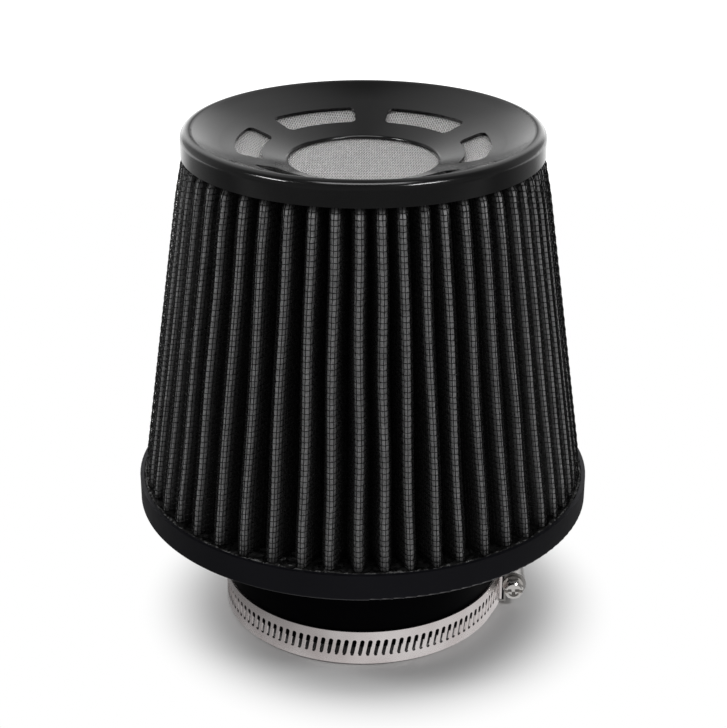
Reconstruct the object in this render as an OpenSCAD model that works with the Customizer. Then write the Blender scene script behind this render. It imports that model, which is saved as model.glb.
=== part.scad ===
// Cone air filter for an engine intake, with an inverted open top and a worm drive clamp on its neck.
// The filter stands on its clamp, +Z is the axis of the filter, and the clamp's screw is on the +X side.

/* [Inlet and base] */
// Bore of the rubber neck, which slips over the intake pipe
bore_d = 76.2; // [70:0.1:80]
// Wall of the rubber neck
neck_wall = 8.3; // [6:0.1:10]
// Length of the neck below the base flange
neck_len = 35; // [28:1:50]
// How far the clamp hangs past the end of the neck
clamp_overhang = 6; // [2:0.5:7]
// Outer diameter of the base flange
flange_d = 150; // [140:1:180]
// Height of the base flange at its rim
flange_h = 8.8; // [7:0.1:14]
// Thickness of the floor of the flange
flange_floor = 5.4; // [4:0.1:6]
// Width of the upright lips that hold the sealant in the flange
flange_lip = 1.3; // [1:0.1:2]
// Radius of the bell mouth at the inner end of the bore
bell_r = 5; // [1:0.5:5]

/* [Cap] */
// Outer diameter of the cap
cap_d = 114.4; // [106:0.1:130]
// Height of the cap from the edge of its skirt to its crest
cap_h = 7.7; // [7.5:0.1:12]
// Wall of the cap
cap_wall = 1; // [0.8:0.1:1.4]
// Radius of the rolled shoulder of the cap
shoulder_r = 2.6; // [2:0.1:3.4]
// Slope at which the bowl leaves the shoulder, in degrees
rim_slope = 30; // [28:1:34]
// Slope of the conical middle of the bowl, in degrees
bowl_slope = 17; // [14:0.5:20]
// Radius of the arc between those two slopes, seen in section
bowl_arc_r = 40; // [30:1:50]
// Diameter of the round opening in the middle of the bowl
opening_d = 47.2; // [38:0.2:52]
// Radius of the rolled lip of that opening
opening_lip_r = 1.1; // [1:0.1:1.8]
// Number of slots around the bowl
cap_slots = 6; // [4:1:8]
// Radius of the inner side of the slots
slot_in_r = 31.8; // [29:0.1:34]
// Radius of the outer side of the slots
slot_out_r = 40.2; // [37:0.1:41]
// Angle that each slot spans, in degrees
slot_span = 43.4; // [24:0.2:46]
// Radius of the corners of the slots
slot_corner_r = 2.1; // [0.8:0.1:2.4]
// Turn of the slots about the axis, in degrees
slot_turn = -4; // [-30:0.5:30]

/* [Filter media] */
// Number of pleats
pleats = 52; // [40:1:56]
// Radial depth of the pleats
pleat_depth = 11; // [9:0.5:12]
// Outer diameter of the pleats at the base flange
media_base_d = 146.4; // [136:0.2:176]
// Outer diameter of the pleats just below the cap
media_top_d = 114.8; // [106:0.2:130]
// Height of the media between the flange and the skirt of the cap
media_h = 110; // [80:1:160]
// Height over which the pleats are tucked in under the cap
tuck_h = 2.6; // [2:0.2:5]
// Thickness of the cotton gauze
cotton_t = 0.75; // [0.5:0.05:0.9]
// Thickness of each wire screen
screen_t = 0.35; // [0.2:0.05:0.4]
// Air between the gauze and each screen
layer_gap = 0.15; // [0.1:0.05:0.2]
// Radius of the fold at the middle of the media
fold_mid_r = 1.0; // [0.95:0.05:1.1]
// How much closer the pleats stand on the clamp's side than opposite, in degrees
pleat_drift = 7; // [0:0.5:7.5]
// How far the pleats bunch up and spread out on the way round, in degrees
pleat_sway = 0.9; // [0:0.1:1]
// Uneven spacing from one pleat to the next, in degrees
pleat_scatter = 0.2; // [0:0.05:0.4]

/* [Top screen] */
// Thickness of the formed wire mesh under the cap
mesh_t = 0.6; // [0.4:0.1:0.8]
// Thickness of the gauze behind that mesh
gauze_t = 1.2; // [0.8:0.1:2]

/* [Worm drive clamp] */
// Width of the clamp's band
band_w = 12; // [10:0.5:14]
// Thickness of the band
band_t = 0.7; // [0.5:0.05:0.8]
// Distance from one slot of the band to the next
band_pitch = 2.58; // [2.4:0.02:3]
// Shift of the row of slots along the band, as a share of that distance
band_phase = 0.09; // [0:0.01:1]
// Length of a slot of the band
band_slot_l = 6.05; // [5:0.05:6.5]
// Width of a slot of the band
band_slot_w = 1.4; // [1.2:0.05:1.5]
// Lean of the slots, in degrees
band_slot_lean = 11; // [6:1:12]
// Thickness of the saddle under the band
saddle_t = 0.8; // [0.6:0.1:1]
// Length of the screw housing
housing_l = 15; // [13:0.5:17]
// Sheet thickness of the housing
housing_t = 0.7; // [0.5:0.1:0.8]
// Core diameter of the screw
screw_core_d = 6; // [5.6:0.1:6.4]
// Crest diameter of the screw's thread
screw_thread_d = 7.5; // [7.2:0.1:7.6]
// Width across the flats of the screw's head
hex_af = 6; // [5.5:0.5:7]
// Length of the hexagon of the screw's head
hex_l = 4; // [3:0.1:5]

/* [Fits] */
// Gap between the band of the clamp and the neck
band_gap = 0.1; // [0.05:0.05:0.3]
// Gap around the sealant rings and the formed mesh
seat_gap = 0.1; // [0.05:0.05:0.2]
// Gap at the ends of the pleated media
media_gap = 0.25; // [0.15:0.05:0.3]
// Gap between neighbouring sheets of the clamp
sheet_gap = 0.05; // [0.03:0.01:0.1]
// Gap between the edges of the band and the housing
edge_gap = 0.1; // [0.05:0.05:0.2]
// Radial running clearance of the screw in the housing
screw_clearance = 0.05; // [0.02:0.01:0.1]

/* [Hidden] */

// Stretches of one wall run a little into each other, and the one that does is this much thinner
join = 0.1;
let_in = 0.01;
// How far a cut runs past what it cuts
beyond = 1;

// Heights, from the surface that the filter stands on
band_z = housing_t + edge_gap;
neck_z = band_z + clamp_overhang;
flange_z = neck_z + neck_len;
flange_top_z = flange_z + flange_h;
skirt_z = flange_top_z + media_h;

// Radii of the base
bore_r = bore_d / 2;
neck_r = bore_r + neck_wall;
flange_r = flange_d / 2;
neck_fillet_r = 3;
flange_edge_r = 1;
channel_out_r = flange_r - flange_lip;
media_in_r = media_base_d / 2 - pleat_depth;
channel_in_r = media_in_r - 2 * media_gap;
base_seal_drop = 1.2;

// Pleated media: each level is its height and the outer radius of the ridges there
cap_r = cap_d / 2;
skirt_in_r = cap_r - cap_wall;
media_z = flange_top_z - base_seal_drop + media_gap;
media_in_cap = 0.9;
media_end_z = skirt_z + media_in_cap;
tuck_z = skirt_z - tuck_h;
mouth_r = skirt_in_r - media_gap;
tuck_slope = (media_top_d / 2 - mouth_r) / tuck_h;
media_end_r = media_top_d / 2 - tuck_slope * (media_end_z - tuck_z);
media_levels = [[media_z, media_base_d / 2], [tuck_z, media_top_d / 2], [media_end_z, media_end_r]];
media_t = cotton_t + 2 * screen_t + 2 * layer_gap;
fold_r = fold_mid_r + media_t / 2;
ridge_steps = 4;
valley_steps = 2;
ridge_phase = 5.2;
sway_count = 5;
scatter_turn = 137.5;

// Section of the cap: shoulder, arc, cone and lip follow each other, and each touches the next
shoulder_c = [cap_r - shoulder_r, skirt_z + cap_h - shoulder_r];
rim_up = [-sin(rim_slope), cos(rim_slope)];
bowl_up = [-sin(bowl_slope), cos(bowl_slope)];
arc_c = shoulder_c + (shoulder_r + bowl_arc_r) * rim_up;
cone_end = arc_c - bowl_arc_r * bowl_up;
opening_r = opening_d / 2;
lip_x = opening_r + opening_lip_r;
lip_c = [lip_x, cone_end[1] - (cone_end[0] - lip_x) * tan(bowl_slope) - opening_lip_r / cos(bowl_slope)];
lip_end_z = lip_c[1];
cap_top_z = skirt_z + cap_h;
corner_steps = 5;
edge_steps = 10;
collar_gap = 0.4;
collar_out_r = media_end_r - pleat_depth - collar_gap;
collar_wall = 1.4;
collar_in_r = collar_out_r - collar_wall;
collar_len = 3.2;

// Formed mesh and gauze under the bowl
mesh_flat_r = lip_x + 0.8;
mesh_rim_r = collar_in_r - seat_gap;
mesh_flat_z = lip_end_z - seat_gap;
mesh_rim_z = arc_under_z(mesh_rim_r) - seat_gap;

// Clamp, seen along its axis: the saddle, the fixed end of the band and its free end lie in three layers
band_in_r = neck_r + band_gap;
fixed_r = band_in_r + saddle_t + sheet_gap;
free_r = fixed_r + band_t + sheet_gap;
screw_r = screw_core_d / 2;
screw_x = free_r + band_t + 2 * sheet_gap + screw_r;
band_mid_z = band_z + band_w / 2;
housing_end = housing_l / 2;
housing_w = band_w + 2 * (edge_gap + housing_t);
housing_angle = asin(housing_end / band_in_r);
saddle_angle = housing_angle - 0.6;
end_play = 0.1;
fixed_end_angle = housing_angle - 1.5;
free_end_angle = asin((housing_end - end_play) / (free_r + band_t));
ramp_start = housing_angle + 1;
fixed_ramp_end = ramp_start + 12;
free_ramp_end = ramp_start + 18;
ramp_steps = 8;
ramp_lap = 0.5;
shoulder_x = free_r + band_t + 3 * sheet_gap;
thread_room = 0.15;
arch_in_r = screw_thread_d / 2 + thread_room;
arch_out_r = arch_in_r + housing_t;
foot_gap = 0.1;
lug_l = 3;
journal_r = 2;
journal_out = 0.5;
throat_r = 2.2;
head_y = -(housing_end + end_play);
collar_t = 0.7;
collar_r = 3.5;
crown_l = 8;
crown_in = 0.3;
drive_w = 1.2;
drive_depth = 1.6;
cross_l = 4;
dimple_d = 4.2;
dimple_depth = 0.7;

$fn = 96;

function arc_under_z(r) = arc_c[1] - sqrt(pow(bowl_arc_r + cap_wall, 2) - pow(r - arc_c[0], 2));
function on_circle(radius, angle) = radius * [cos(angle), sin(angle)];
function mix(a, b, t) = a + (b - a) * t;
function ease(t) = t * t * (3 - 2 * t);
function arc(centre, radius, from, to, steps) =
    [for (k = [0 : steps]) centre + on_circle(radius, mix(from, to, k / steps))];

// Pleats: ridge i stands at ridge_angle(i), and each valley is midway between two ridges
function even_angle(i) = ridge_phase + i * 360 / pleats;
function ridge_angle(i) =
    even_angle(i) - pleat_drift * sin(even_angle(i)) - pleat_sway * cos(sway_count * even_angle(i))
    + pleat_scatter * sin(scatter_turn * ((i + pleats) % pleats));

// Angle, from the ridge's own radius, of the point where the flank leaves the fold
function flank_turn(ridge_r, valley_r, half_pitch) =
    let (across = [valley_r * cos(half_pitch) - ridge_r, valley_r * sin(half_pitch)])
    atan2(across[1], across[0]) - acos(2 * fold_mid_r / norm(across));

// Points of one pleat, on the skin that lies `side` outside the middle of the media
function pleat(i, out_r, side) =
    let (
        here = ridge_angle(i),
        half_next = (ridge_angle(i + 1) - here) / 2,
        half_last = (here - ridge_angle(i - 1)) / 2,
        ridge_r = out_r - fold_r,
        valley_r = out_r - pleat_depth + fold_r,
        turn_next = flank_turn(ridge_r, valley_r, half_next),
        turn_last = flank_turn(ridge_r, valley_r, half_last),
        bottom = here + half_next + 180,
        valley_turn = turn_next - half_next
    )
    concat(
        arc(on_circle(ridge_r, here), fold_mid_r + side, here - turn_last, here + turn_next, ridge_steps),
        arc(on_circle(valley_r, here + half_next), fold_mid_r - side,
            bottom + valley_turn, bottom - valley_turn, valley_steps));

function skin(level, side) =
    [for (i = [0 : pleats - 1]) for (p = pleat(i, level[1], side)) [p[0], p[1], level[0]]];

// Triangles that join two rings of n points, which start at points a and b of the list.
// Both facings share one diagonal, so that neighbouring sheets stay parallel where a flank is twisted.
function facing_out(a, b, n) =
    [for (i = [0 : n - 1]) let (j = (i + 1) % n) each [[a + i, b + i, b + j], [a + i, b + j, a + j]]];
function facing_in(a, b, n) =
    [for (i = [0 : n - 1]) let (j = (i + 1) % n) each [[a + i, b + j, b + i], [a + i, a + j, b + j]]];

// A pleated sheet between two distances from the middle of the media
module pleated_sheet(outer, inner) {
    n = pleats * (ridge_steps + valley_steps + 2);
    levels = len(media_levels);
    top = levels - 1;
    points = [for (side = [outer, inner]) for (level = media_levels) each skin(level, side)];
    faces = concat(
        [for (k = [0 : top - 1]) each facing_out(k * n, (k + 1) * n, n)],
        [for (k = [0 : top - 1]) each facing_in((levels + k) * n, (levels + k + 1) * n, n)],
        facing_out(levels * n, 0, n),
        facing_out(top * n, (levels + top) * n, n));
    polyhedron(points = points, faces = faces);
}

module outer_wire_screen() {
    color([0.05, 0.05, 0.05]) pleated_sheet(media_t / 2, media_t / 2 - screen_t);
}

module cotton_media() {
    color([0.16, 0.16, 0.17]) pleated_sheet(cotton_t / 2, -cotton_t / 2);
}

module inner_wire_screen() {
    color([0.05, 0.05, 0.05]) pleated_sheet(screen_t - media_t / 2, -media_t / 2);
}

// Sector of a ring, between two angles
module ring_sector(centre, in_r, out_r, from, to) {
    intersection() {
        difference() {
            translate(centre) circle(out_r, $fn = 360);
            translate(centre) circle(in_r, $fn = 360);
        }
        polygon(concat([centre], arc(centre, 2 * out_r, from, to, 3)));
    }
}

// Half section of the cap, from the edge of its skirt over the shoulder and down the bowl to the lip
module cap_section() {
    cone_in = 2 * let_in;
    along = [cos(bowl_slope), sin(bowl_slope)];
    cone_from = lip_c + opening_lip_r * bowl_up - join * along;
    cone_to = cone_end + join * along;
    translate([cap_r - cap_wall + let_in, skirt_z])
        square([cap_wall - 2 * let_in, shoulder_c[1] - skirt_z + join]);
    ring_sector(shoulder_c, shoulder_r - cap_wall, shoulder_r, 0, 90 + rim_slope);
    ring_sector(arc_c, bowl_arc_r + let_in, bowl_arc_r + cap_wall - let_in,
                bowl_slope - 90, rim_slope - 90 + join);
    polygon([cone_from - (cap_wall - cone_in) * bowl_up, cone_to - (cap_wall - cone_in) * bowl_up,
             cone_to - cone_in * bowl_up, cone_from - cone_in * bowl_up]);
    ring_sector(lip_c, 0, opening_lip_r, 90 + bowl_slope, 180);
}

// Outline of one slot of the cap, with rounded corners
module cap_slot() {
    step = 90 / (corner_steps + 1);
    outer = slot_out_r - slot_corner_r;
    inner = slot_in_r + slot_corner_r;
    half_out = slot_span / 2 - asin(slot_corner_r / outer);
    half_in = slot_span / 2 - asin(slot_corner_r / inner);
    side = slot_span / 2 + 90;
    polygon(concat(
        arc([0, 0], slot_out_r, -half_out, half_out, edge_steps),
        arc(on_circle(outer, half_out), slot_corner_r, half_out + step, side, corner_steps),
        arc(on_circle(inner, half_in), slot_corner_r, side, half_in + 180 - step, corner_steps),
        arc([0, 0], slot_in_r, half_in, -half_in, edge_steps),
        arc(on_circle(inner, -half_in), slot_corner_r, step - half_in - 180, -side, corner_steps),
        arc(on_circle(outer, -half_out), slot_corner_r, -side, -half_out - step, corner_steps)));
}

module top_cap() {
    color([0.03, 0.03, 0.03])
    difference() {
        rotate_extrude() {
            cap_section();
            difference() {
                translate([collar_in_r, arc_under_z(collar_out_r) - collar_len])
                    square([collar_wall, collar_len + beyond]);
                translate(arc_c) circle(bowl_arc_r + cap_wall / 2, $fn = 360);
            }
        }
        for (k = [0 : cap_slots - 1])
            rotate(slot_turn + k * 360 / cap_slots)
            translate([0, 0, lip_end_z]) linear_extrude(cap_top_z - lip_end_z) cap_slot();
    }
}

// A dished disc: flat in the middle, with a conical rim that rises to the collar of the cap
module dish(drop, thick) {
    low = mesh_flat_z - drop;
    high = mesh_rim_z - drop;
    rotate_extrude()
        polygon([[0, low], [mesh_flat_r, low], [mesh_rim_r, high],
                 [mesh_rim_r, high - thick], [mesh_flat_r, low - thick], [0, low - thick]]);
}

module top_mesh() {
    color([0.72, 0.72, 0.72]) dish(0, mesh_t);
}

module top_gauze() {
    color([0.5, 0.5, 0.5]) dish(mesh_t + sheet_gap, gauze_t);
}

module top_sealant() {
    low = media_end_z + media_gap;
    high = shoulder_c[1] - seat_gap;
    color([0.1, 0.1, 0.1])
    rotate_extrude()
    difference() {
        translate([collar_out_r + seat_gap, low])
            square([skirt_in_r - collar_out_r - 2 * seat_gap, high - low]);
        translate(arc_c) circle(bowl_arc_r + cap_wall + seat_gap, $fn = 360);
    }
}

module base_sealant() {
    low = flange_z + flange_floor;
    high = flange_top_z - base_seal_drop;
    color([0.1, 0.1, 0.1])
    rotate_extrude()
        translate([channel_in_r + seat_gap, low])
            square([channel_out_r - channel_in_r - 2 * seat_gap, high - low]);
}

// Flange and neck, one rubber moulding
module rubber_base() {
    floor_z = flange_z + flange_floor;
    color([0.06, 0.06, 0.07])
    rotate_extrude() {
        difference() {
            translate([bore_r, neck_z]) square([neck_wall, floor_z - neck_z]);
            translate([bore_r, floor_z - bell_r]) bell_corner();
        }
        translate([neck_r - join, flange_z + flange_edge_r])
            square([flange_r - neck_r + join, flange_floor - flange_edge_r]);
        translate([neck_r - join, flange_z])
            square([flange_r - neck_r - flange_edge_r + join, flange_edge_r + join]);
        translate([flange_r - flange_edge_r, flange_z + flange_edge_r]) circle(flange_edge_r);
        for (lip_r = [channel_out_r, channel_in_r - flange_lip])
            translate([lip_r, floor_z - join]) square([flange_lip, flange_top_z - floor_z + join]);
        difference() {
            translate([neck_r - join, flange_z - neck_fillet_r])
                square([neck_fillet_r + join, neck_fillet_r + join]);
            translate([neck_r + neck_fillet_r, flange_z - neck_fillet_r]) circle(neck_fillet_r);
        }
    }
}

// What the bell mouth takes off the corner between the bore and the floor of the flange
module bell_corner() {
    difference() {
        translate([-beyond, 0]) square([bell_r + beyond, bell_r + beyond]);
        translate([bell_r, 0]) circle(bell_r);
    }
}

// A stretch of the band of constant radius, between two angles
module band_arc(inner_r, from, to) {
    rotate(from) rotate_extrude(angle = to - from)
        translate([inner_r, band_z]) square([band_t, band_w]);
}

// A stretch of the band that eases from one radius to another, with both ends let into its neighbours
module band_ramp(inner_r, angle, next_r, next_angle) {
    path = concat(
        [[inner_r, angle - ramp_lap]],
        [for (k = [0 : ramp_steps]) let (t = k / ramp_steps)
            [mix(inner_r, next_r, ease(t)), mix(angle, next_angle, t)]],
        [[next_r, next_angle + ramp_lap]]);
    inside = [for (p = path) on_circle(p[0] + let_in, p[1])];
    outside = [for (p = path) on_circle(p[0] + band_t - let_in, p[1])];
    translate([0, 0, band_z + let_in]) linear_extrude(band_w - 2 * let_in)
        polygon(concat(inside, [for (k = [len(path) - 1 : -1 : 0]) outside[k]]));
}

// One slot of the band, cut from radius `from_r` outwards
module band_slot(from_r) {
    straight = band_slot_l - band_slot_w;
    translate([from_r, 0, band_mid_z]) rotate([-band_slot_lean, 0, 0]) rotate([0, 90, 0])
        linear_extrude(free_r + 2 * band_t - from_r) {
            square([straight, band_slot_w], center = true);
            for (end = [-straight / 2, straight / 2]) translate([end, 0]) circle(band_slot_w / 2, $fn = 24);
        }
}

module clamp_band() {
    slot_angle = 360 / round(2 * PI * (band_in_r + band_t) / band_pitch);
    color([0.72, 0.7, 0.69])
    difference() {
        union() {
            band_arc(band_in_r, free_ramp_end, 360 - fixed_ramp_end);
            band_ramp(band_in_r, -fixed_ramp_end, fixed_r, -ramp_start);
            band_arc(fixed_r, -ramp_start, fixed_end_angle);
            band_ramp(free_r, ramp_start, band_in_r, free_ramp_end);
            band_arc(free_r, -free_end_angle, ramp_start);
        }
        for (angle = [(1 + band_phase) * slot_angle : slot_angle : 360 - ramp_start])
            if (angle > ramp_start) rotate(angle) band_slot(band_in_r - beyond);
        for (k = [-2 : 2]) rotate((k + band_phase) * slot_angle) band_slot(free_r - sheet_gap / 2);
    }
}

// Curved plate between the neck and the fixed end of the band, with a lug on each side
module clamp_saddle() {
    color([0.7, 0.69, 0.68]) {
        rotate(-saddle_angle) rotate_extrude(angle = 2 * saddle_angle)
            translate([band_in_r, housing_t + edge_gap / 2]) square([saddle_t, band_w + edge_gap]);
        translate([band_in_r + sheet_gap, -lug_l / 2, 0]) cube([saddle_t - 2 * sheet_gap, lug_l, housing_w]);
    }
}

// Outline of the housing across the screw: band channel, shoulders and arch
module housing_outline(inset) {
    foot_x = band_in_r + foot_gap - inset;
    translate([foot_x, inset]) square([shoulder_x + housing_t - inset - foot_x, housing_w - 2 * inset]);
    translate([shoulder_x, band_mid_z - arch_out_r + inset])
        square([screw_x - shoulder_x, 2 * (arch_out_r - inset)]);
    translate([screw_x, band_mid_z]) circle(arch_out_r - inset);
}

module along_screw(from, to) {
    translate([0, -from, 0]) rotate([90, 0, 0]) linear_extrude(to - from) children();
}

module clamp_housing() {
    lug_gap = 2 * sheet_gap;
    color([0.68, 0.67, 0.66])
    difference() {
        along_screw(-housing_end, housing_end) housing_outline(0);
        along_screw(-housing_end + housing_t, housing_end - housing_t) housing_outline(housing_t);
        translate([0, -housing_l, housing_t]) cube([shoulder_x, 2 * housing_l, housing_w - 2 * housing_t]);
        translate([0, 0, -beyond]) cylinder(r = band_in_r, h = housing_w + 2 * beyond);
        translate([band_in_r, -lug_l / 2 - lug_gap, -beyond])
            cube([saddle_t + lug_gap, lug_l + 2 * lug_gap, housing_w + 2 * beyond]);
        translate([screw_x, 0, band_mid_z]) rotate([90, 0, 0])
            cylinder(r = throat_r + screw_clearance, h = housing_l);
        translate([screw_x, 0, band_mid_z]) rotate([-90, 0, 0])
            cylinder(r = journal_r + screw_clearance, h = housing_l);
    }
}

// Dimpled hexagon head with a cross slot, then a collar, a throat, the threaded core and a journal
module clamp_screw() {
    core_end = housing_end - housing_t - end_play;
    head_end = -head_y + collar_t + hex_l;
    color([0.78, 0.77, 0.76])
    translate([screw_x, 0, band_mid_z]) rotate([90, 0, 0])
    difference() {
        union() {
            translate([0, 0, -core_end]) cylinder(r = screw_r, h = 2 * core_end);
            translate([0, 0, -housing_end - journal_out]) cylinder(r = journal_r, h = housing_end);
            cylinder(r = throat_r, h = -head_y + collar_t);
            translate([0, 0, -head_y]) cylinder(r = collar_r, h = collar_t);
            intersection() {
                translate([0, 0, -head_y]) cylinder(r = hex_af / sqrt(3), h = collar_t + hex_l, $fn = 6);
                translate([0, 0, head_end - crown_l])
                    cylinder(r1 = hex_af / 2 + crown_l, r2 = hex_af / 2 - crown_in, h = crown_l);
            }
        }
        translate([-hex_af, -drive_w / 2, head_end - drive_depth])
            cube([2 * hex_af, drive_w, drive_depth + beyond]);
        translate([-drive_w / 2, -cross_l / 2, head_end - drive_depth])
            cube([drive_w, cross_l, drive_depth + beyond]);
        translate([0, 0, head_end - dimple_depth]) cylinder(r = dimple_d / 2, h = dimple_depth + beyond);
    }
}

top_cap();
top_mesh();
top_gauze();
top_sealant();
outer_wire_screen();
cotton_media();
inner_wire_screen();
base_sealant();
rubber_base();
clamp_band();
clamp_saddle();
clamp_housing();
clamp_screw();
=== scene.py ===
import math

import bpy
import numpy as np
from mathutils import Matrix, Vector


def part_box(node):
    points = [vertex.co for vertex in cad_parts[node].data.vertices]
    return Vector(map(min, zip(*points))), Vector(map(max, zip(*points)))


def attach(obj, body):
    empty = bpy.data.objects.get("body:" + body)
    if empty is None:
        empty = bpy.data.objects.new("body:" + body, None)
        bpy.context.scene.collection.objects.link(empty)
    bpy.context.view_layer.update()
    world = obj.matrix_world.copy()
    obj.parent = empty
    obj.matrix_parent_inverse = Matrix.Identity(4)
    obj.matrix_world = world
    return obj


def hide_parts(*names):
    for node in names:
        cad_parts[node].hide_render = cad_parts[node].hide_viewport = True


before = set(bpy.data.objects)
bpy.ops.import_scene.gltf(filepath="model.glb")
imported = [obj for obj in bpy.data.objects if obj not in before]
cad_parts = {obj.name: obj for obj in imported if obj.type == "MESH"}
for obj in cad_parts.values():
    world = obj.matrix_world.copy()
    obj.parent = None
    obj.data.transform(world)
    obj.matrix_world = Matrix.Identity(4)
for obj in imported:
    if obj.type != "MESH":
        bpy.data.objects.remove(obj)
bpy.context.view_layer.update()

# All sizes below are in millimetres, as in the CAD, and MM turns them into metres.
MM = 0.001
SEED = 7

# Pleated media
PLEATS = 52
PLEAT_DEPTH = 11.0
FOLD_MID_R = 1.0
FOLD_R = 1.875
RIDGE_PHASE = 5.2
PLEAT_DRIFT = 7.0
PLEAT_SWAY = 0.9
SWAY_COUNT = 5
PLEAT_SCATTER = 0.2
SCATTER_TURN = 137.5
LEVEL_Z = (49.65, 158.0, 161.5)
LEVEL_R = (73.2, 57.4, 55.45)
# Waviness of the ridges, in degrees, the lengths it may have, and over what height it sets in
WAVE_TURN = 0.2
WAVE_LENGTHS = (55.0, 120.0)
WAVE_REACH = 25.0

# Wire screens on both faces of the gauze
WIRE_D = 0.33
HOOP_PITCH = 1.75
STAY_PITCH = 1.2
INNER_PITCH = 5.25
SCREEN_SIDE = 0.72
# How far the outer screen stands off the crests, and over what height that sets in at both ends
SCREEN_LIFT = 0.45
LIFT_REACH = 12.0
WEAVE = 0.11
HOOP_SAG = 0.06
GAUZE_SIDE = 0.375

# Formed mesh under the cap
MESH_PITCH = 0.78
MESH_WIRE_D = 0.36
MESH_WEAVE = 0.1
MESH_LEAN = 16.5
MESH_FLAT_R = 25.5
MESH_BEND = 1.2

# Sealant that was poured around the foot of the pleats
BEAD_IN_R = 60.6
BEAD_OUT_R = 73.6
BEAD_FLOOR_Z = 47.4
BEAD_Z = 50.7
BEAD_RIM_Z = 50.45
# Lumps of the bead: how many go around, and how high they are
BEAD_LUMPS = ((23, 0.2), (61, 0.14), (PLEATS, 0.16), (143, 0.1), (207, 0.08))

# Painted shade in the pleats: lightness of the cotton at five depths, from the crest (0) to the valley (1)
PLEAT_SHADE_LEVELS = ((0.05, 1.0), (0.12, 0.48), (0.2, 0.15), (0.34, 0.045), (0.6, 0.008))

# Heights over which the neck's painted shade and matt finish give way to the satin flange
NECK_TOP_Z = 38.8
FLANGE_Z = 41.8

# Brightness of the studio dome at three heights, from the horizon (0) to overhead (1)
DOME_LEVELS = ((0.0, 0.5), (0.45, 0.36), (0.9, 0.2))
# Share of it on the camera's side, and where it rises to all of it, on the way from front to back
DOME_FRONT = 0.5
DOME_RISE = (-0.1, 0.7)
# Two bright wings behind the filter: brightness near the horizon and at the height where it stops
# falling, where they set in on the way to the back, and their levels by the distance to the side
WING_LOW = 2.2
WING_HIGH = 0.45
WING_TOP = 0.6
WING_BACK = (0.1, 0.5)
WING_SHAPE = ((0.02, 0.0), (0.12, 0.45), (0.28, 1.0), (0.38, 0.9), (0.55, 0.1))
# The floor: half its side in metres, its shade near the filter, and the span that its ramps cover
FLOOR_HALF = 6.0
FLOOR_SHADE = 0.78
FLOOR_REACH = (-0.5, 0.5)
# Its brightness as polished faces see it, from the camera's side to the back, in metres
FLOOR_GLOSS = (
    (-0.35, 0.18), (-0.18, 0.32), (-0.06, 0.14), (0.05, 0.16), (0.2, 0.28), (0.34, 0.42), (0.5, 1.5),
)
# The same close around the clamp, from left to right, and the radii at which one turns into the other
NEAR_GLOSS = ((-0.07, 0.1), (-0.03, 0.4), (0.0, 0.62), (0.07, 0.62))
NEAR_END = (0.085, 0.11)

# Middle of the shadow on the floor, and the radii at which it starts to fade and is gone
SHADOW_PLACE = (0.005, -0.004)
SHADOW_NEAR = 0.046
SHADOW_FAR = 0.083

# Camera, as fitted to the photograph
CAMERA_PLACE = (0.0, -520.65, 319.94)
CAMERA_DOWN = 24.12
CAMERA_YAW = -0.02
CAMERA_ROLL = 0.1
CAMERA_LENS = 85.25
SENSOR = 36.0

# Softboxes: name, azimuth and elevation in degrees, distance, width and height in metres, watts.
# Azimuth 0 is the camera's side, and positive is to the right.
SOFTBOXES = (
    ("softbox_left", -64.0, 42.0, 0.9, 0.26, 0.05, 1.6),
    ("softbox_right", 42.0, 42.0, 0.9, 0.26, 0.05, 2.0),
    ("softbox_top", 0.0, 76.0, 1.0, 0.6, 0.3, 2.8),
)
SOFTBOX_AIM = (0.0, 0.0, 0.09)

rng = np.random.default_rng(SEED)


def smoothstep(t):
    t = np.clip(t, 0.0, 1.0)
    return t * t * (3.0 - 2.0 * t)


WAVE_PHASE = rng.uniform(0.0, 2.0 * math.pi, PLEATS)
WAVE_LENGTH = rng.uniform(*WAVE_LENGTHS, PLEATS)


def off_ends(z, reach):
    """0 at both ends of the media and 1 beyond `reach` from them."""
    return smoothstep((z - LEVEL_Z[0]) / reach) * smoothstep((LEVEL_Z[1] - z) / reach)


def ridge_angles(z):
    """Angle of each ridge at each height, in radians, as an array of heights by pleats."""
    i = np.arange(PLEATS)
    even = RIDGE_PHASE + i * 360.0 / PLEATS
    scatter = PLEAT_SCATTER * np.sin(np.radians(SCATTER_TURN * i))
    sway = PLEAT_SWAY * np.cos(np.radians(SWAY_COUNT * even))
    rest = even - PLEAT_DRIFT * np.sin(np.radians(even)) - sway + scatter
    wave = np.sin(2.0 * math.pi * z[:, None] / WAVE_LENGTH + WAVE_PHASE)
    return np.radians(rest + WAVE_TURN * off_ends(z, WAVE_REACH)[:, None] * wave)


def polar(radius, angle):
    return np.stack([radius * np.cos(angle), radius * np.sin(angle)], axis=-1)


def flank_turn(ridge_r, valley_r, half_pitch):
    """Angle, from the ridge's own radius, at which the flank leaves the fold."""
    across_x = valley_r * np.cos(half_pitch) - ridge_r
    across_y = valley_r * np.sin(half_pitch)
    lean = np.arccos(2.0 * FOLD_MID_R / np.hypot(across_x, across_y))
    return np.arctan2(across_y, across_x) - lean


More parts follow.
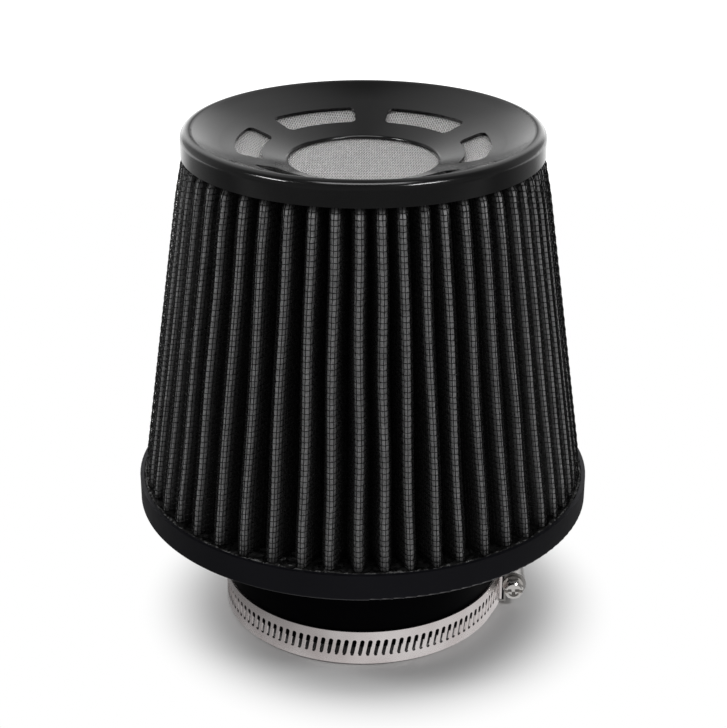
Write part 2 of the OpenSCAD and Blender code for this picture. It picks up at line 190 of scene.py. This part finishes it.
def pleat_rings(z, side, ridge_steps, flank_steps, valley_steps, lift=0.0):
    """Closed rings around the media at heights z, `side` outside its middle: heights by points by 3."""
    z = np.asarray(z, float)
    out_r = np.interp(z, LEVEL_Z, LEVEL_R)[:, None]
    here = ridge_angles(z)
    turn = 2.0 * math.pi
    after = np.concatenate([here[:, 1:], here[:, :1] + turn], axis=1)
    before = np.concatenate([here[:, -1:] - turn, here[:, :-1]], axis=1)
    half_next = (after - here) / 2.0
    half_last = (here - before) / 2.0
    ridge_r = out_r - FOLD_R + lift * off_ends(z, LIFT_REACH)[:, None]
    valley_r = out_r - PLEAT_DEPTH + FOLD_R
    turn_next = flank_turn(ridge_r, valley_r, half_next)
    turn_last = flank_turn(ridge_r, valley_r, half_last)
    bottom = here + half_next + math.pi
    valley_turn = turn_next - half_next

    t = np.linspace(0.0, 1.0, ridge_steps + 1)
    fan = (here - turn_last)[..., None] + (turn_last + turn_next)[..., None] * t
    ridge = polar(ridge_r, here)[:, :, None, :] + polar(FOLD_MID_R + side, fan)
    t = np.linspace(1.0, -1.0, valley_steps + 1)
    fan = bottom[..., None] + valley_turn[..., None] * t
    valley = polar(valley_r, here + half_next)[:, :, None, :] + polar(FOLD_MID_R - side, fan)

    following = np.roll(ridge[:, :, :1], -1, axis=1)
    parts = [ridge]
    if flank_steps:
        t = (np.arange(1, flank_steps + 1) / (flank_steps + 1.0))[:, None]
        parts.append(ridge[:, :, -1:] * (1 - t) + valley[:, :, :1] * t)
        parts.append(valley)
        parts.append(valley[:, :, -1:] * (1 - t) + following * t)
    else:
        parts.append(valley)
    flat = np.concatenate(parts, axis=2).reshape(len(z), -1, 2)
    high = np.broadcast_to(z[:, None, None], flat.shape[:2] + (1,))
    return np.concatenate([flat, high], axis=2)


def add_mesh(name, points, faces, body, smooth=True):
    """A new piece from points in millimetres, which rides on a body."""
    mesh = bpy.data.meshes.new(name)
    points = np.asarray(points, np.float64).reshape(-1, 3) * MM
    faces = np.asarray(faces, np.int32)
    size = faces.shape[1]
    mesh.vertices.add(len(points))
    mesh.vertices.foreach_set("co", points.astype(np.float32).ravel())
    mesh.loops.add(faces.size)
    mesh.loops.foreach_set("vertex_index", faces.ravel())
    mesh.polygons.add(len(faces))
    mesh.polygons.foreach_set("loop_start", np.arange(0, faces.size, size, dtype=np.int32))
    mesh.polygons.foreach_set("use_smooth", np.full(len(faces), smooth))
    mesh.update(calc_edges=True)
    mesh.validate()
    piece = bpy.data.objects.new(name, mesh)
    bpy.context.scene.collection.objects.link(piece)
    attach(piece, body)
    return piece


def unit(v):
    return v / np.maximum(np.linalg.norm(v, axis=-1, keepdims=True), 1e-9)


def tubes(paths, facing, radius, sides=3, closed=False):
    """Round wires along paths (wires by points by 3), with `facing` a direction across each wire."""
    paths = np.asarray(paths, float)
    if closed:
        along = np.roll(paths, -1, axis=1) - np.roll(paths, 1, axis=1)
    else:
        along = np.gradient(paths, axis=1)
    along = unit(along)
    across = unit(np.cross(along, facing))
    up = np.cross(across, along)
    turn = 2.0 * math.pi * np.arange(sides) / sides
    rim = (across[:, :, None] * np.cos(turn)[:, None] + up[:, :, None] * np.sin(turn)[:, None]) * radius
    points = paths[:, :, None] + rim
    wires, n = paths.shape[:2]
    index = np.arange(wires * n * sides).reshape(wires, n, sides)
    a = index if closed else index[:, :-1]
    b = np.roll(index, -1, axis=1) if closed else index[:, 1:]
    quads = np.stack([a, b, np.roll(b, -1, axis=2), np.roll(a, -1, axis=2)], axis=-1)
    return points.reshape(-1, 3), quads.reshape(-1, 4)


def ring_faces(rows, columns):
    """Quads of a sheet of rings that close on themselves."""
    index = np.arange(rows * columns).reshape(rows, columns)
    a, b = index[:-1], index[1:]
    quads = np.stack([a, np.roll(a, -1, axis=1), np.roll(b, -1, axis=1), b], axis=-1)
    return quads.reshape(-1, 4)


def gauze_sleeve():
    """The pleated cotton, as one closed sheet with rounded folds."""
    z = np.linspace(LEVEL_Z[0], LEVEL_Z[1], 14)
    z = np.append(z, LEVEL_Z[2])
    outer = pleat_rings(z, GAUZE_SIDE, 6, 2, 4)
    inner = pleat_rings(z, -GAUZE_SIDE, 6, 2, 4)
    rows, columns = outer.shape[:2]
    skin = ring_faces(rows, columns)
    count = rows * columns
    foot = np.arange(columns)
    top = count - columns + np.arange(columns)
    foot_next = np.roll(foot, -1)
    top_next = np.roll(top, -1)
    foot_rim = np.stack([foot, foot + count, foot_next + count, foot_next], axis=-1)
    top_rim = np.stack([top, top_next, top_next + count, top + count], axis=-1)
    faces = np.concatenate([skin, skin[:, ::-1] + count, foot_rim, top_rim])
    points = np.concatenate([outer.reshape(-1, 3), inner.reshape(-1, 3)])
    piece = add_mesh("gauze_sleeve", points, faces, "filter")
    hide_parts("cotton_media")
    return piece


def hoop_heights(pitch):
    count = int((LEVEL_Z[2] - LEVEL_Z[0] - 0.6) / pitch)
    return LEVEL_Z[0] + 0.5 + pitch * np.arange(count + 1)


def hoops(name, side, pitch, lift=0.0):
    """The wires of a screen that run around the filter, in and out of its pleats."""
    z = hoop_heights(pitch)
    rings = pleat_rings(z, side, 4, 0, 3, lift)
    sag = rng.normal(0.0, HOOP_SAG, rings.shape[:2])
    rings[:, :, 2] += (sag + np.roll(sag, 1, axis=1) + np.roll(sag, -1, axis=1)) / 3.0
    points, faces = tubes(rings, np.array([0.0, 0.0, 1.0]), WIRE_D / 2, closed=True)
    return add_mesh(name, points, faces, "filter")


def stays(side, weave, hoop_pitch, pitch, lift=0.0):
    """Paths of the wires that run up the filter and pass in front of every second hoop."""
    z = hoop_heights(hoop_pitch)
    z = np.concatenate([[LEVEL_Z[0]], z, [LEVEL_Z[2]]])
    near = pleat_rings(z, side + weave, 6, 2, 4, lift)
    far = pleat_rings(z, side - weave, 6, 2, 4, lift)
    middle = (near[len(z) // 2] + far[len(z) // 2]) / 2.0
    step = np.linalg.norm(np.roll(middle, -1, axis=0) - middle, axis=1)
    length = np.concatenate([[0.0], np.cumsum(step)])
    count = int(length[-1] / pitch)
    place = (np.arange(count) + 0.5 + rng.uniform(-0.12, 0.12, count)) * length[-1] / count
    at = np.searchsorted(length, place, side="right") - 1
    part = ((place - length[at]) / step[at])[None, :, None]
    to = (at + 1) % len(step)
    on_near = near[:, at] * (1 - part) + near[:, to] * part
    on_far = far[:, at] * (1 - part) + far[:, to] * part
    in_front = (np.arange(len(z))[:, None] + np.arange(count)[None, :]) % 2 == 0
    paths = np.where(in_front[:, :, None], on_near, on_far).transpose(1, 0, 2)
    facing = unit(paths * np.array([1.0, 1.0, 0.0]))
    return paths, facing


def outer_screen():
    ring = hoops("outer_screen_hoops", SCREEN_SIDE, HOOP_PITCH, SCREEN_LIFT)
    paths, facing = stays(SCREEN_SIDE, WEAVE, HOOP_PITCH, STAY_PITCH, SCREEN_LIFT)
    made = [ring]
    thirds = np.array_split(np.arange(len(paths)), 3)
    for name, part in zip(("outer_screen_stays_a", "outer_screen_stays_b", "outer_screen_stays_c"), thirds):
        points, faces = tubes(paths[part], facing[part], WIRE_D / 2)
        made.append(add_mesh(name, points, faces, "filter"))
    for piece in made:
        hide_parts("outer_wire_screen")
    return made


def inner_screen():
    """The screen behind the gauze, which shows only through the bore, with wider meshes."""
    ring = hoops("inner_screen_hoops", -SCREEN_SIDE, INNER_PITCH)
    paths, facing = stays(-SCREEN_SIDE, WEAVE, INNER_PITCH, 3.0 * STAY_PITCH)
    points, faces = tubes(paths, facing, WIRE_D / 2)
    made = [ring, add_mesh("inner_screen_stays", points, faces, "filter")]
    for piece in made:
        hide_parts("inner_wire_screen")
    return made


def dish_height(radius, flat_r, rim_r, flat_z, rim_z):
    """Height of the formed mesh: flat in the middle, rising to its rim, with a soft bend between."""
    rise = (rim_z - flat_z) / (rim_r - flat_r)
    over = radius - flat_r
    return flat_z + rise * 0.5 * (over + np.hypot(over, MESH_BEND))


def mesh_wires(name, lean, odd):
    """One direction of the slanted wires of the formed mesh, `lean` degrees from the Y axis."""
    low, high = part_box("top_mesh")
    rim_r = high.x / MM - MESH_WIRE_D
    rim_z = high.z / MM - 0.35
    flat_z = low.z / MM + 0.3
    count = int(2 * rim_r / MESH_PITCH)
    offsets = (np.arange(count) - (count - 1) / 2) * MESH_PITCH
    turn = math.radians(lean)
    along = np.array([-math.sin(turn), math.cos(turn)])
    across = np.array([math.cos(turn), math.sin(turn)])
    other = np.array([math.cos(turn), -math.sin(turn)])
    strips, faces, start = [], [], 0
    for k, off in enumerate(offsets):
        half = math.sqrt(rim_r ** 2 - off ** 2)
        u = (offsets - off * (across @ other)) / (along @ other)
        m = np.flatnonzero(np.abs(u) < half)
        m = m[np.argsort(u[m])]
        lift = np.where((m + k + odd) % 2 == 0, MESH_WEAVE, -MESH_WEAVE)
        u = np.concatenate([[-half], u[m], [half]])
        lift = np.concatenate([[0.0], lift, [0.0]])
        x, y = (off * across[:, None] + u * along[:, None])
        z = dish_height(np.hypot(x, y), MESH_FLAT_R, rim_r, flat_z, rim_z) + lift
        path = np.stack([x, y, z], axis=-1)[None]
        points, quads = tubes(path, np.array([0.0, 0.0, 1.0]), MESH_WIRE_D / 2)
        strips.append(points)
        faces.append(quads + start)
        start += len(points)
    piece = add_mesh(name, np.concatenate(strips), np.concatenate(faces), "filter")
    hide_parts("top_mesh")
    return piece


def bead_height(radius, angle):
    """Height of the poured sealant: lumpy, and a little lower and less lumpy at the lip of the flange."""
    lumps = np.zeros_like(angle)
    for turns, share in BEAD_LUMPS:
        phase = rng.uniform(0.0, 2.0 * math.pi)
        lumps += share * np.sin(turns * angle + phase + 1.7 * radius)
    rim = smoothstep((radius - BEAD_OUT_R + 1.0) / 1.0)
    return BEAD_Z + lumps + (BEAD_RIM_Z - BEAD_Z - 0.7 * lumps) * rim


def sealant_bead():
    """The ring of sealant in the flange, with an uneven top."""
    angle = np.linspace(0.0, 2.0 * math.pi, 720, endpoint=False)
    radius = np.concatenate([[BEAD_IN_R], np.linspace(BEAD_IN_R, BEAD_OUT_R, 18), [BEAD_OUT_R, BEAD_IN_R]])
    r, a = np.meshgrid(radius, angle, indexing="ij")
    z = bead_height(r, a)
    z[0] = BEAD_FLOOR_Z
    z[-2:] = BEAD_FLOOR_Z
    points = np.stack([r * np.cos(a), r * np.sin(a), z], axis=-1)
    faces = ring_faces(*z.shape)[:, ::-1]
    piece = add_mesh("sealant_bead", points, faces, "filter")
    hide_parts("base_sealant")
    return piece


def grey(levels, low=0.0, high=1.0):
    """Stops of a grey ramp, from pairs of place and level, with low..high spread over the ramp."""
    return [((at - low) / (high - low), (level,) * 3) for at, level in levels]


class Graph:
    """A node tree, with short calls that add the nodes it needs."""

    def __init__(self, tree, place):
        self.tree = tree
        self.place = self.node("ShaderNodeTexCoord").outputs[place]

    def node(self, kind, **settings):
        made = self.tree.nodes.new(kind)
        for key, value in settings.items():
            setattr(made, key, value)
        return made

    def link(self, source, target):
        self.tree.links.new(source, target)

    def noise(self, scale, detail=3.0, stretch=(1.0, 1.0, 1.0), roughness=0.5):
        mapping = self.node("ShaderNodeMapping")
        mapping.inputs["Scale"].default_value = stretch
        self.link(self.place, mapping.inputs["Vector"])
        made = self.node("ShaderNodeTexNoise")
        made.inputs["Scale"].default_value = scale
        made.inputs["Detail"].default_value = detail
        made.inputs["Roughness"].default_value = roughness
        self.link(mapping.outputs["Vector"], made.inputs["Vector"])
        return made.outputs["Fac"]

    def ramp(self, source, stops):
        made = self.node("ShaderNodeValToRGB")
        row = made.color_ramp
        while len(row.elements) < len(stops):
            row.elements.new(0.5)
        for element, (at, colour) in zip(row.elements, stops):
            element.position = at
            element.color = (*colour, 1.0)
        self.link(source, made.inputs["Fac"])
        return made.outputs["Color"]

    def span(self, source, low, high):
        """Maps 0..1 to low..high."""
        return self.between(source, (0.0, 1.0), (low, high))

    def between(self, source, given, wanted, kind="LINEAR"):
        """Maps one range to another, and holds the ends."""
        made = self.node("ShaderNodeMapRange", interpolation_type=kind)
        for socket, value in zip(("From Min", "From Max", "To Min", "To Max"), given + wanted):
            made.inputs[socket].default_value = value
        self.link(source, made.inputs["Value"])
        return made.outputs["Result"]

    def scaled(self, colour, factor):
        made = self.node("ShaderNodeVectorMath", operation="SCALE")
        self.link(colour, made.inputs["Vector"])
        self.link(factor, made.inputs["Scale"])
        return made.outputs["Vector"]

    def math(self, operation, a, b=None):
        made = self.node("ShaderNodeMath", operation=operation)
        for socket, value in zip(made.inputs, (a, b)):
            if value is None:
                continue
            if isinstance(value, (int, float)):
                socket.default_value = value
            else:
                self.link(value, socket)
        return made.outputs["Value"]

    def length(self, x, y):
        return self.math("SQRT", self.math("ADD", self.math("MULTIPLY", x, x), self.math("MULTIPLY", y, y)))

    def xyz(self):
        made = self.node("ShaderNodeSeparateXYZ")
        self.link(self.place, made.inputs["Vector"])
        return made.outputs["X"], made.outputs["Y"], made.outputs["Z"]

    def rays(self, kind):
        """1 for rays of the named kind."""
        return self.node("ShaderNodeLightPath").outputs[kind]

    def mix(self, factor, first, second):
        made = self.node("ShaderNodeMixShader")
        self.link(factor, made.inputs["Fac"])
        self.link(first, made.inputs[1])
        self.link(second, made.inputs[2])
        return made.outputs["Shader"]


class Shader(Graph):
    """A material with a principled shader."""

    def __init__(self, name, **sockets):
        self.material = bpy.data.materials.new(name)
        self.material.use_nodes = True
        super().__init__(self.material.node_tree, "Object")
        self.main = self.tree.nodes["Principled BSDF"]
        for socket, value in sockets.items():
            self.main.inputs[socket.replace("_", " ")].default_value = value

    def colour(self, source):
        self.link(source, self.main.inputs["Base Color"])

    def rough(self, source):
        self.link(source, self.main.inputs["Roughness"])

    def bump(self, source, depth_mm, strength=1.0):
        made = self.node("ShaderNodeBump")
        made.inputs["Strength"].default_value = strength
        made.inputs["Distance"].default_value = depth_mm * MM
        self.link(source, made.inputs["Height"])
        self.link(made.outputs["Normal"], self.main.inputs["Normal"])


def cap_plastic():
    s = Shader("cap_plastic", Specular_IOR_Level=0.5)
    s.colour(s.ramp(s.noise(60.0), [(0.3, (0.0035, 0.0035, 0.0037)), (0.7, (0.005, 0.005, 0.0052))]))
    s.rough(s.span(s.noise(180.0, 4.0), 0.13, 0.18))
    s.bump(s.noise(1400.0, 2.0), 0.004)
    return s.material


def base_rubber():
    """Moulded rubber: satin on the flange, matt on the neck, and the neck darkened as painted shade."""
    s = Shader("base_rubber", Specular_Tint=(0.85, 0.85, 1.0, 1.0))
    _, _, z = s.xyz()
    flange = s.between(z, (NECK_TOP_Z * MM, FLANGE_Z * MM), (0.0, 1.0), "SMOOTHSTEP")
    colour = s.ramp(s.noise(45.0, 5.0), [(0.3, (0.0025, 0.0025, 0.0034)), (0.75, (0.0045, 0.0045, 0.006))])
    # Painted shade under the flange: the neck's colour is cut to 0.3 of the flange's.
    s.colour(s.scaled(colour, s.span(flange, 0.3, 1.0)))
    s.link(s.span(flange, 0.02, 0.26), s.main.inputs["Specular IOR Level"])
    s.rough(s.span(s.noise(240.0, 5.0), 0.38, 0.52))
    s.bump(s.noise(1800.0, 3.0), 0.02)
    return s.material


def below_ridge(s):
    """How deep a point lies in the pleats under the line of the ridges, as a share of their depth."""
    x, y, z = s.xyz()
    away = s.length(x, y)
    ridge = s.between(z, (LEVEL_Z[0] * MM, LEVEL_Z[1] * MM), (LEVEL_R[0] * MM, LEVEL_R[1] * MM))
    return s.math("DIVIDE", s.math("SUBTRACT", ridge, away), PLEAT_DEPTH * MM)


def gauze_cloth(name, light, pleated=False):
    """Woven threads, fuzzy and unevenly filled; on pleats, painted shade darkens it below the crests."""
    s = Shader(name, Specular_IOR_Level=0.1, Roughness=0.95, Sheen_Weight=0.1, Sheen_Roughness=0.6)
    threads = s.noise(2600.0, 4.0, (1.0, 1.0, 0.4), 0.7)
    blotch = s.noise(260.0, 3.0)
    mixed = s.math("ADD", s.math("MULTIPLY", threads, 0.7), s.math("MULTIPLY", blotch, 0.3))
    dark = tuple(0.3 * c for c in light)
    colour = s.ramp(mixed, [(0.32, dark), (0.68, light)])
    if pleated:
        # Painted shade: the cotton darkens with depth in the pleats, almost to black in the valleys.
        pleat_shade = s.ramp(below_ridge(s), grey(PLEAT_SHADE_LEVELS))
        colour = s.scaled(colour, pleat_shade)
    s.colour(colour)
    s.bump(threads, 0.18)
    return s.material


def coated_wire():
    s = Shader("coated_wire", Specular_IOR_Level=0.42)
    s.colour(s.ramp(s.noise(900.0, 2.0), [(0.3, (0.002, 0.002, 0.002)), (0.8, (0.006, 0.006, 0.006))]))
    s.rough(s.span(s.noise(1500.0), 0.12, 0.45))
    return s.material


def bright_wire():
    s = Shader("bright_mesh", Metallic=0.7)
    tones = [(0.38, (0.72, 0.71, 0.71)), (0.6, (1.0, 0.99, 0.99))]
    s.colour(s.ramp(s.noise(1300.0, 2.0, roughness=0.7), tones))
    s.rough(s.span(s.noise(1200.0), 0.35, 0.5))
    return s.material


def brushed_steel(name, light, dark, rough, stretch):
    """Steel with a fine grain, which runs across the axes that are stretched."""
    s = Shader(name, Metallic=1.0)
    grain = s.noise(900.0, 4.0, stretch, 0.65)
    s.colour(s.ramp(s.noise(55.0, 3.0), [(0.3, dark), (0.7, light)]))
    s.rough(s.span(grain, *rough))
    s.bump(grain, 0.006)
    return s.material


def sealant():
    """Black poured sealant, with painted glints in its colour where it meets the lip of the flange."""
    s = Shader("sealant", Specular_IOR_Level=0.16)
    x, y, _ = s.xyz()
    lip = ((BEAD_OUT_R - 0.9) * MM, (BEAD_OUT_R - 0.4) * MM)
    edge = s.between(s.length(x, y), lip, (0.0, 0.5))
    # Painted glints: light spots in the colour along the lip stand in for highlights on the resin.
    painted_glint = s.between(s.noise(800.0), (0.45, 0.6), (0.0, 1.0))
    tone = s.math("ADD", s.math("MULTIPLY", s.noise(400.0), 0.6), s.math("MULTIPLY", edge, painted_glint))
    s.colour(s.ramp(tone, grey(((0.2, 0.001), (0.5, 0.004), (0.9, 0.09)))))
    s.rough(s.ramp(s.noise(900.0), [(0.42, (0.7,) * 3), (0.62, (0.15,) * 3)]))
    s.bump(s.noise(500.0, 4.0), 0.3)
    return s.material


def paint(piece, material):
    """The one material of a new piece, or of every slot of a CAD node."""
    slots = piece.material_slots
    if not slots:
        piece.data.materials.append(material)
        return
    for slot in slots:
        slot.material = material


def paint_all():
    rubber = base_rubber()
    wire = coated_wire()
    bright = bright_wire()
    band = brushed_steel(
        "clamp_steel", (0.95, 0.9, 0.89), (0.7, 0.63, 0.62), (0.2, 0.36), (1.0, 1.0, 14.0)
    )
    # Painted shade: the housing takes a darker copy of the band's steel.
    housing = brushed_steel(
        "housing_steel", (0.34, 0.33, 0.32), (0.22, 0.21, 0.2), (0.22, 0.36), (1.0, 10.0, 1.0)
    )
    screw = brushed_steel(
        "screw_steel", (0.72, 0.7, 0.68), (0.55, 0.53, 0.51), (0.1, 0.2), (8.0, 1.0, 8.0)
    )
    resin = sealant()
    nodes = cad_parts
    for names, material in (
        (("top_cap",), cap_plastic()),
        (("top_gauze",), gauze_cloth("gauze", (0.62, 0.61, 0.6))),
        (("top_sealant",), resin),
        (("rubber_base",), rubber),
        (("clamp_band", "clamp_saddle"), band),
        (("clamp_housing",), housing),
        (("clamp_screw",), screw),
    ):
        for name in names:
            paint(nodes[name], material)
    paint(sealant_bead(), resin)
    paint(gauze_sleeve(), gauze_cloth("cotton", (0.47, 0.47, 0.474), pleated=True))
    for piece in outer_screen() + inner_screen():
        paint(piece, wire)
    paint(mesh_wires("mesh_wires_warp", MESH_LEAN, 0), bright)
    paint(mesh_wires("mesh_wires_weft", -MESH_LEAN, 1), bright)


def glow(g, colour, strength):
    """A background light of the sky."""
    made = g.node("ShaderNodeBackground")
    g.link(colour, made.inputs["Color"])
    g.link(strength, made.inputs["Strength"])
    return made.outputs["Background"]


def sky():
    """White where the camera looks. Elsewhere a soft studio dome, with a bright wing on each side behind."""
    world = bpy.data.worlds.new("studio")
    bpy.context.scene.world = world
    world.use_nodes = True
    world.node_tree.nodes.clear()
    g = Graph(world.node_tree, "Generated")
    x, y, z = g.xyz()
    dome = g.ramp(z, grey(DOME_LEVELS))
    around = g.between(y, DOME_RISE, (DOME_FRONT, 1.0), "SMOOTHSTEP")
    beside = g.ramp(g.math("ABSOLUTE", x), grey(WING_SHAPE))
    behind = g.between(y, WING_BACK, (0.0, 1.0), "SMOOTHSTEP")
    wings = g.math("MULTIPLY", behind, g.between(z, (0.0, WING_TOP), (WING_LOW, WING_HIGH)))
    soft = g.node("ShaderNodeAddShader")
    g.link(glow(g, dome, around), soft.inputs[0])
    g.link(glow(g, beside, wings), soft.inputs[1])
    plain = g.node("ShaderNodeBackground")
    plain.inputs["Color"].default_value = (1.0, 1.0, 1.0, 1.0)
    out = g.node("ShaderNodeOutputWorld")
    seen = g.mix(g.rays("Is Camera Ray"), soft.outputs["Shader"], plain.outputs["Background"])
    g.link(seen, out.inputs["Surface"])


def floor():
    """A pale floor that keeps the shadow near the filter and turns plain white away from it."""
    half = FLOOR_HALF
    corners = [(-half, -half, 0), (half, -half, 0), (half, half, 0), (-half, half, 0)]
    mesh = bpy.data.meshes.new("floor")
    mesh.from_pydata(corners, [], [(0, 1, 2, 3)])
    piece = bpy.data.objects.new("floor", mesh)
    bpy.context.scene.collection.objects.link(piece)
    shade = (FLOOR_SHADE, FLOOR_SHADE, FLOOR_SHADE, 1.0)
    s = Shader("floor", Roughness=0.9, Specular_IOR_Level=0.0, Base_Color=shade)
    x, y, _ = s.xyz()
    from_x = s.math("SUBTRACT", x, SHADOW_PLACE[0])
    from_y = s.math("SUBTRACT", y, SHADOW_PLACE[1])
    away = s.length(from_x, from_y)
    far = s.between(away, (SHADOW_NEAR, SHADOW_FAR), (0.0, 1.0), "SMOOTHSTEP")
    white = s.node("ShaderNodeEmission")
    wide = s.ramp(s.between(y, FLOOR_REACH, (0.0, 1.0)), grey(FLOOR_GLOSS, *FLOOR_REACH))
    near = s.ramp(s.between(x, FLOOR_REACH, (0.0, 1.0)), grey(NEAR_GLOSS, *FLOOR_REACH))
    past = s.between(away, NEAR_END, (0.0, 1.0), "SMOOTHSTEP")
    past_share = s.math("MULTIPLY", wide, past)
    near_share = s.math("MULTIPLY", near, s.math("SUBTRACT", 1.0, past))
    gloss = s.math("ADD", past_share, near_share)
    to_camera = s.rays("Is Camera Ray")
    s.link(s.math("MAXIMUM", gloss, to_camera), white.inputs["Strength"])
    seen = s.math("MAXIMUM", s.math("MULTIPLY", far, to_camera), s.rays("Is Glossy Ray"))
    shown = s.mix(seen, s.main.outputs["BSDF"], white.outputs["Emission"])
    s.link(shown, s.tree.nodes["Material Output"].inputs["Surface"])
    paint(piece, s.material)


def softbox(name, azimuth, elevation, distance, width, height, watts):
    """An area lamp that faces the filter."""
    lamp = bpy.data.lights.new(name, "AREA")
    lamp.shape = "RECTANGLE"
    lamp.size = width
    lamp.size_y = height
    lamp.energy = watts
    a, e = math.radians(azimuth), math.radians(elevation)
    way = (math.sin(a) * math.cos(e), -math.cos(a) * math.cos(e), math.sin(e))
    piece = bpy.data.objects.new(name, lamp)
    bpy.context.scene.collection.objects.link(piece)
    turn = Matrix.Rotation(a, 4, "Z") @ Matrix.Rotation(math.pi / 2 - e, 4, "X")
    place = [aim + distance * step for aim, step in zip(SOFTBOX_AIM, way)]
    piece.matrix_world = Matrix.Translation(place) @ turn
    return piece


def camera():
    lens = bpy.data.cameras.new("camera")
    lens.lens = CAMERA_LENS
    lens.sensor_width = SENSOR
    piece = bpy.data.objects.new("camera", lens)
    bpy.context.scene.collection.objects.link(piece)
    yaw = Matrix.Rotation(math.radians(CAMERA_YAW), 4, "Z")
    down = Matrix.Rotation(math.radians(90 - CAMERA_DOWN), 4, "X")
    roll = Matrix.Rotation(math.radians(CAMERA_ROLL), 4, "Z")
    look = yaw @ down @ roll
    piece.matrix_world = Matrix.Translation([v * MM for v in CAMERA_PLACE]) @ look
    bpy.context.scene.camera = piece


def studio():
    sky()
    floor()
    for row in SOFTBOXES:
        softbox(*row)
    bpy.context.scene.view_settings.view_transform = "Standard"


paint_all()
studio()
camera()
